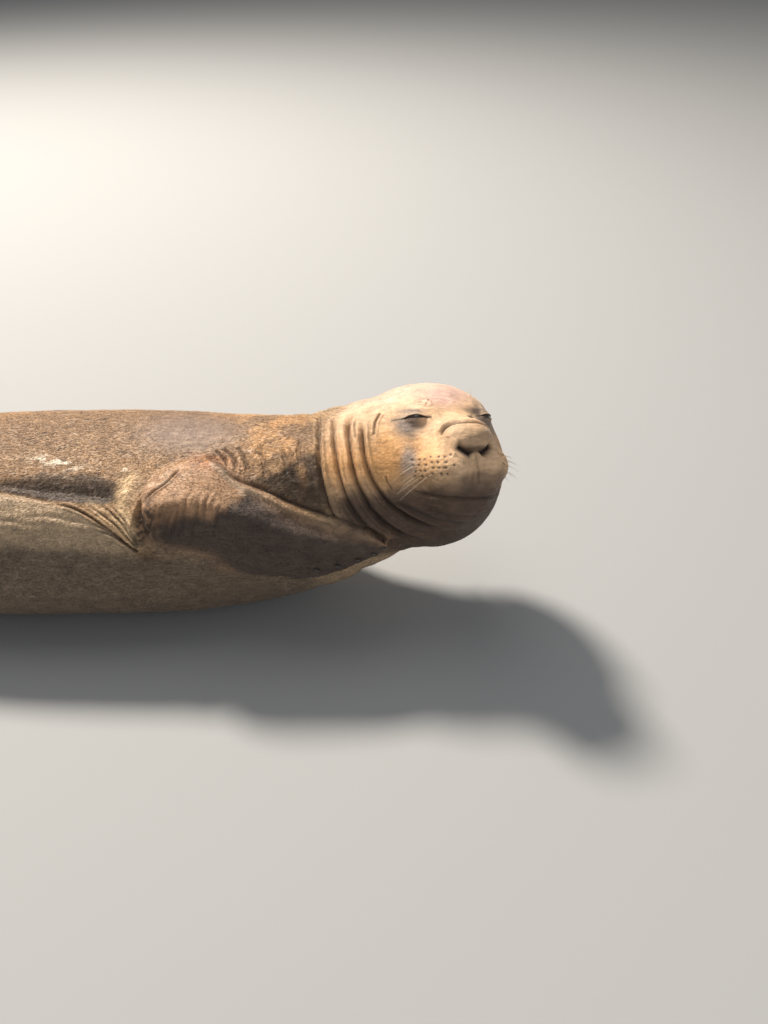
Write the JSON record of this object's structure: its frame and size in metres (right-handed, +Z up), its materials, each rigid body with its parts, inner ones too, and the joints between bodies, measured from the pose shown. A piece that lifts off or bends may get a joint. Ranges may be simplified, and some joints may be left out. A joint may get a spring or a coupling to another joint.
{
  "type": "elephant seal",
  "caption": "Life-size elephant seal lying rolled towards its left side, head turned to its right with folded neck, right fore flipper over the chest, hind flippers spread behind.",
  "frame": {"origin": "on the floor, under the middle of the whole animal's footprint", "axes": "+X from the hind flippers towards the head along the trunk, +Y towards the animal's far (left) side as it lies, +Z up"},
  "size_m": [3.2415, 1.0188, 0.696],
  "materials": {
    "face_coat": "short flat cream to golden fur over folded skin",
    "coat": "short flat fur, mottled golden brown, paler on the belly",
    "flipper_skin": "near-bare dark brown skin with very short fur",
    "eye": "wet dark brown eye",
    "claw": "dark horn"
  },
  "bodies": {
    "root": {"head": "face_coat", "neck": "coat", "chest": "coat", "trunk": "coat", "pelvis": "coat", "tail": "coat", "fore_flipper_right": "flipper_skin", "fore_flipper_left": "flipper_skin", "hind_flipper_right": "flipper_skin", "hind_flipper_left": "flipper_skin", "eye_left": "eye", "eye_right": "eye", "claw_right_1": "claw", "claw_right_2": "claw", "claw_right_3": "claw", "claw_right_4": "claw", "claw_right_5": "claw", "claw_left_1": "claw", "claw_left_2": "claw", "claw_left_3": "claw", "claw_left_4": "claw", "claw_left_5": "claw"}
  },
  "joints": []
}
